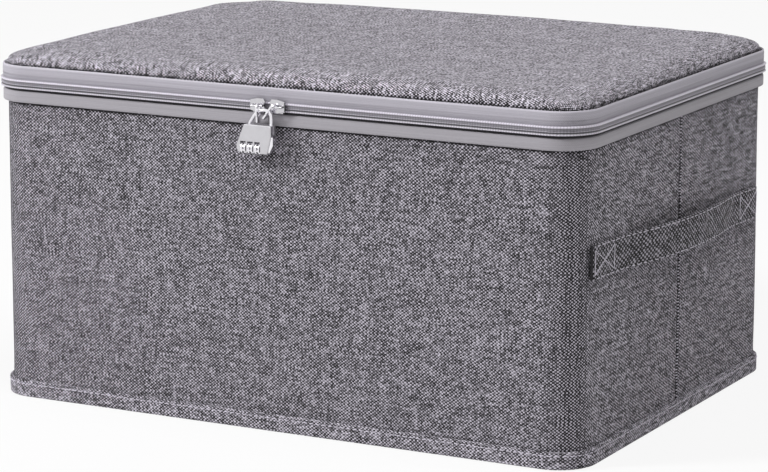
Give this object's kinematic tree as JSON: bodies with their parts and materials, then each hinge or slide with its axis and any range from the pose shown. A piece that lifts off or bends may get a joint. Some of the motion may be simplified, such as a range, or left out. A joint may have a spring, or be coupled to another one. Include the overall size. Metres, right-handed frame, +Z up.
{
  "type": "lockable storage box",
  "caption": "Rectangular cloth storage box with rounded corners, a padded lid that zips shut, a side handle and a combination padlock through the zip pulls.",
  "frame": {"origin": "on the floor under the middle of the box", "axes": "+X to the right along the front with the padlock, -Y towards the front, +Z up"},
  "size_m": [0.3728, 0.2781, 0.197],
  "materials": {
    "grey_cloth": "slub linen weave",
    "lid_cloth": "slub linen weave over padding",
    "zip_tape": "fine twill tape",
    "zip_coil": "woven-in nylon coil",
    "steel": "polished nickel plate",
    "lock_zinc": "satin die-cast zinc",
    "dial": "satin, with numbers round the rim",
    "lining_cloth": "plain non-woven",
    "board": "grey millboard",
    "foam": "soft polyester wadding"
  },
  "bodies": {
    "box": {"base_cover": "grey_cloth", "bottom_hem": "grey_cloth", "front_cover": "grey_cloth", "rear_cover": "grey_cloth", "front_board": "board", "rear_board": "board", "right_front_board": "board", "right_rear_board": "board", "left_front_board": "board", "left_rear_board": "board", "lining": "lining_cloth", "lower_tape": "zip_tape", "hinge_leaf_lower": "zip_tape", "lower_coil": "zip_coil", "right_handle": "grey_cloth"},
    "base_board": {"base_board": "board"},
    "lid": {"lid_cover": "lid_cloth", "lid_foam": "foam", "lid_board": "board", "lid_lining": "lining_cloth", "upper_tape": "zip_tape", "hinge_leaf_upper": "zip_tape", "upper_coil": "zip_coil"},
    "left_slider": {"left_slider": "steel"},
    "left_pull": {"left_pull": "steel"},
    "right_slider": {"right_slider": "steel"},
    "right_pull": {"right_pull": "steel"},
    "shackle": {"lock_shackle": "steel"},
    "lock_body": {"lock_body": "lock_zinc", "lock_spring": "steel"},
    "lock_dial_1": {"lock_dial_1": "dial"},
    "lock_dial_2": {"lock_dial_2": "dial"},
    "lock_dial_3": {"lock_dial_3": "dial"},
    "lock_button": {"lock_button": "lock_zinc", "lock_spindle": "steel"}
  },
  "joints": [
    {"name": "lid_hinge", "type": "hinge", "parent": "box", "child": "lid", "pos_m": [0, 0.1362, 0.1794], "axis": [-1, 0, 0], "range_deg": [0, 180]},
    {"name": "base_board_lift", "type": "slide", "parent": "box", "child": "base_board", "axis": [0, 0, 1], "range_m": [0, 0.165]},
    {"name": "zip_run", "type": "slide", "parent": "box", "child": "right_slider", "axis": [1, 0, 0], "range_m": [-0.145, 0.148]},
    {"name": "left_slider_run", "type": "slide", "parent": "box", "child": "left_slider", "axis": [1, 0, 0], "range_m": [-0.145, 0.148]},
    {"name": "right_pull_swing", "type": "hinge", "parent": "right_slider", "child": "right_pull", "pos_m": [0.0038, -0.13905, 0.1794], "axis": [-1, 0, 0], "range_deg": [0, 90]},
    {"name": "left_pull_swing", "type": "hinge", "parent": "left_slider", "child": "left_pull", "pos_m": [-0.0049, -0.13905, 0.1794], "axis": [-1, 0, 0], "range_deg": [0, 90]},
    {"name": "padlock_swing", "type": "hinge", "parent": "right_pull", "child": "shackle", "pos_m": [0.0017, -0.13905, 0.17666], "axis": [-1, 0, 0], "range_deg": [0, 50]},
    {"name": "lock_release", "type": "slide", "parent": "shackle", "child": "lock_body", "axis": [0, 0, -1], "range_m": [0, 0.0054]},
    {"name": "button_press", "type": "slide", "parent": "lock_body", "child": "lock_button", "axis": [-1, 0, 0], "range_m": [0, 0.0011], "stiffness_N_per_m": 400, "springref_m": -0.0008, "deforming": ["lock_spring"]},
    {"name": "dial_1_spin", "type": "hinge", "parent": "lock_body", "child": "lock_dial_1", "pos_m": [-0.0126, -0.13905, 0.1566], "axis": [1, 0, 0], "continuous": true},
    {"name": "dial_2_spin", "type": "hinge", "parent": "lock_body", "child": "lock_dial_2", "pos_m": [-0.00825, -0.13905, 0.1566], "axis": [1, 0, 0], "continuous": true},
    {"name": "dial_3_spin", "type": "hinge", "parent": "lock_body", "child": "lock_dial_3", "pos_m": [-0.0039, -0.13905, 0.1566], "axis": [1, 0, 0], "continuous": true}
  ],
  "couplings": [
    {"joint": "left_slider_run", "follows": "zip_run", "ratio": 1},
    {"joint": "left_pull_swing", "follows": "right_pull_swing", "ratio": 1}
  ]
}
